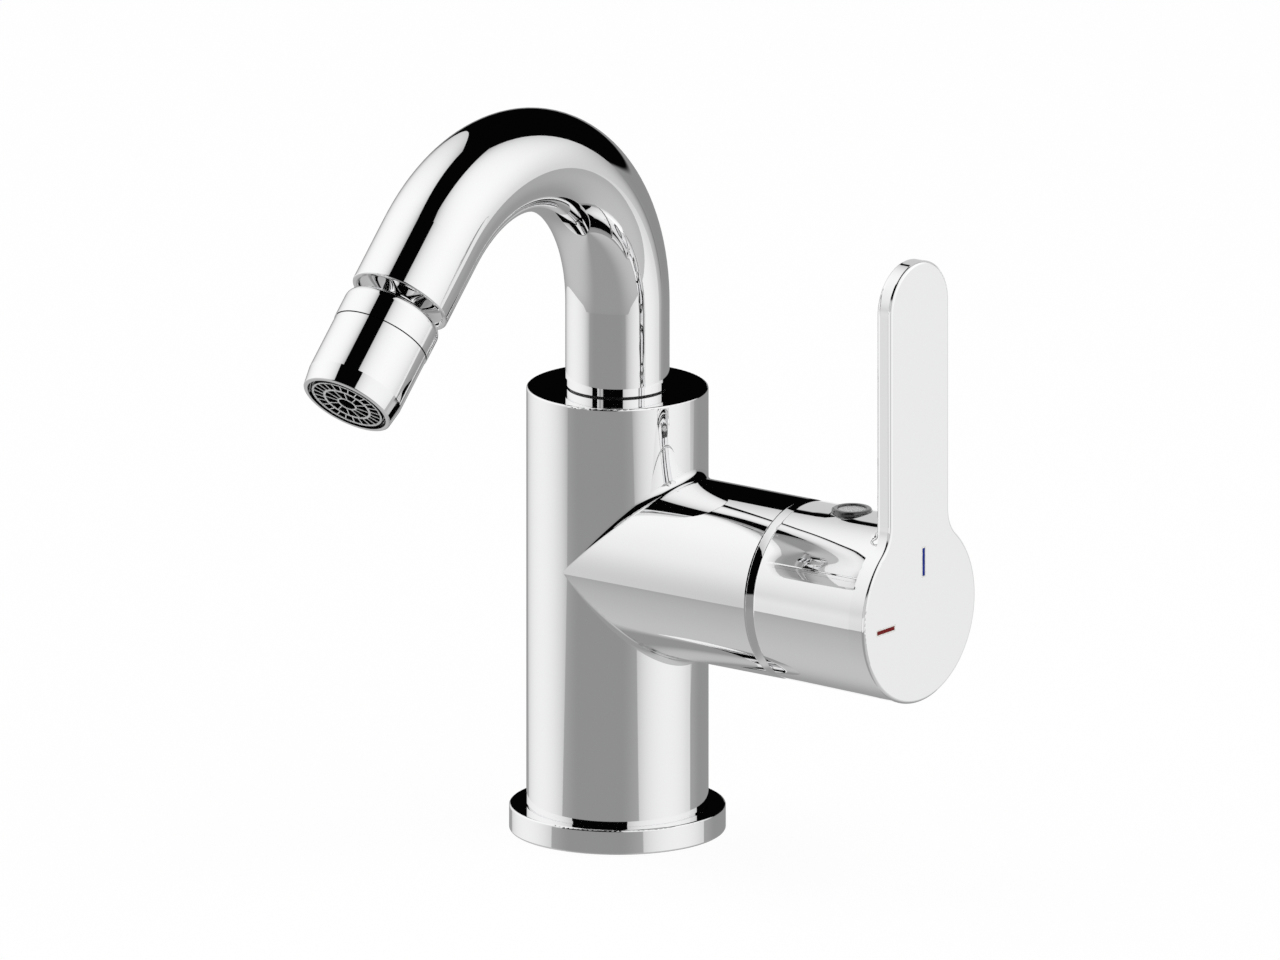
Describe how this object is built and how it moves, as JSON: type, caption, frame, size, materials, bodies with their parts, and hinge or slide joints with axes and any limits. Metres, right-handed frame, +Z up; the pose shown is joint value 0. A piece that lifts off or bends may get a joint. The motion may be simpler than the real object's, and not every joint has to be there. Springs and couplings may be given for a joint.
{
  "type": "bidet mixer",
  "caption": "Single lever bidet mixer: round column on a rosette, side branch with a paddle lever, bent swivel spout and a ball-jointed aerator head.",
  "frame": {"origin": "centre of the rosette, on its underside, at deck level", "axes": "+Z up along the column, +X along the side branch to the lever, -Y towards the spout outlet and the user"},
  "size_m": [0.1204, 0.1459, 0.1921],
  "materials": {
    "chrome": "mirror polished chrome plating",
    "plain_brass": "machined",
    "steel": "plain stainless steel",
    "seal_rubber": "matt black",
    "ceramic_disc": "lapped",
    "cartridge_plastic": "moulded",
    "black_plastic": "moulded",
    "grey_plastic": "moulded",
    "cold_enamel": "gloss enamel",
    "hot_enamel": "gloss enamel"
  },
  "bodies": {
    "mixer_body": {"body": "chrome", "base_rosette": "chrome", "base_gasket": "seal_rubber", "rosette_seal": "seal_rubber", "cartridge_base": "cartridge_plastic", "port_seals": "seal_rubber", "fixed_disc": "ceramic_disc", "cartridge_housing": "cartridge_plastic", "cartridge_nut": "plain_brass", "dome_cover": "chrome", "lock_ring": "steel", "stop_pin": "steel"},
    "cartridge_rotor": {"cartridge_rotor": "cartridge_plastic", "rotor_seal": "seal_rubber", "pivot_pin": "steel"},
    "disc_carrier": {"disc_carrier": "cartridge_plastic", "moving_disc": "ceramic_disc"},
    "lever": {"handle": "chrome", "lever_stem": "plain_brass", "stem_sleeve": "cartridge_plastic", "grub_screw": "steel", "screw_plug": "black_plastic", "plug_button": "grey_plastic", "cold_mark": "cold_enamel", "hot_mark": "hot_enamel"},
    "spout": {"spout_tube": "chrome", "spout_collar": "chrome", "slide_washer": "black_plastic", "spout_nipple": "plain_brass", "guide_rings": "cartridge_plastic", "spout_seals": "seal_rubber", "ball_stud": "chrome", "stud_seal": "seal_rubber"},
    "ball_seat": {"ball_seat": "cartridge_plastic"},
    "outlet_head": {"socket_ring": "chrome", "aerator_housing": "chrome", "ball_seal": "seal_rubber", "aerator_washer": "seal_rubber", "aerator_screen": "steel", "jet_plate": "black_plastic", "aerator_core": "grey_plastic", "outlet_grille": "grey_plastic"}
  },
  "joints": [
    {"name": "temperature", "type": "hinge", "parent": "mixer_body", "child": "cartridge_rotor", "pos_m": [0.042, 0, 0.07], "axis": [1, 0, 0], "range_deg": [0, 100]},
    {"name": "lift", "type": "hinge", "parent": "cartridge_rotor", "child": "lever", "pos_m": [0.042, 0, 0.07], "axis": [0, 1, 0], "range_deg": [0, 25]},
    {"name": "disc_slide", "type": "slide", "parent": "cartridge_rotor", "child": "disc_carrier", "axis": [0, 0, 1], "range_m": [0, 0.0045]},
    {"name": "spout_swivel", "type": "hinge", "parent": "mixer_body", "child": "spout", "pos_m": [0, 0, 0.1], "axis": [0, 0, 1], "range_deg": [-45, 45]},
    {"name": "head_turn", "type": "hinge", "parent": "spout", "child": "ball_seat", "pos_m": [0, -0.09493, 0.14762], "axis": [0, -0.7071, -0.7071], "continuous": true},
    {"name": "head_tilt", "type": "hinge", "parent": "ball_seat", "child": "outlet_head", "pos_m": [0, -0.09493, 0.14762], "axis": [1, 0, 0], "range_deg": [-10, 10]}
  ],
  "couplings": [
    {"joint": "disc_slide", "follows": "lift", "m_per_rad": 0.0092}
  ]
}
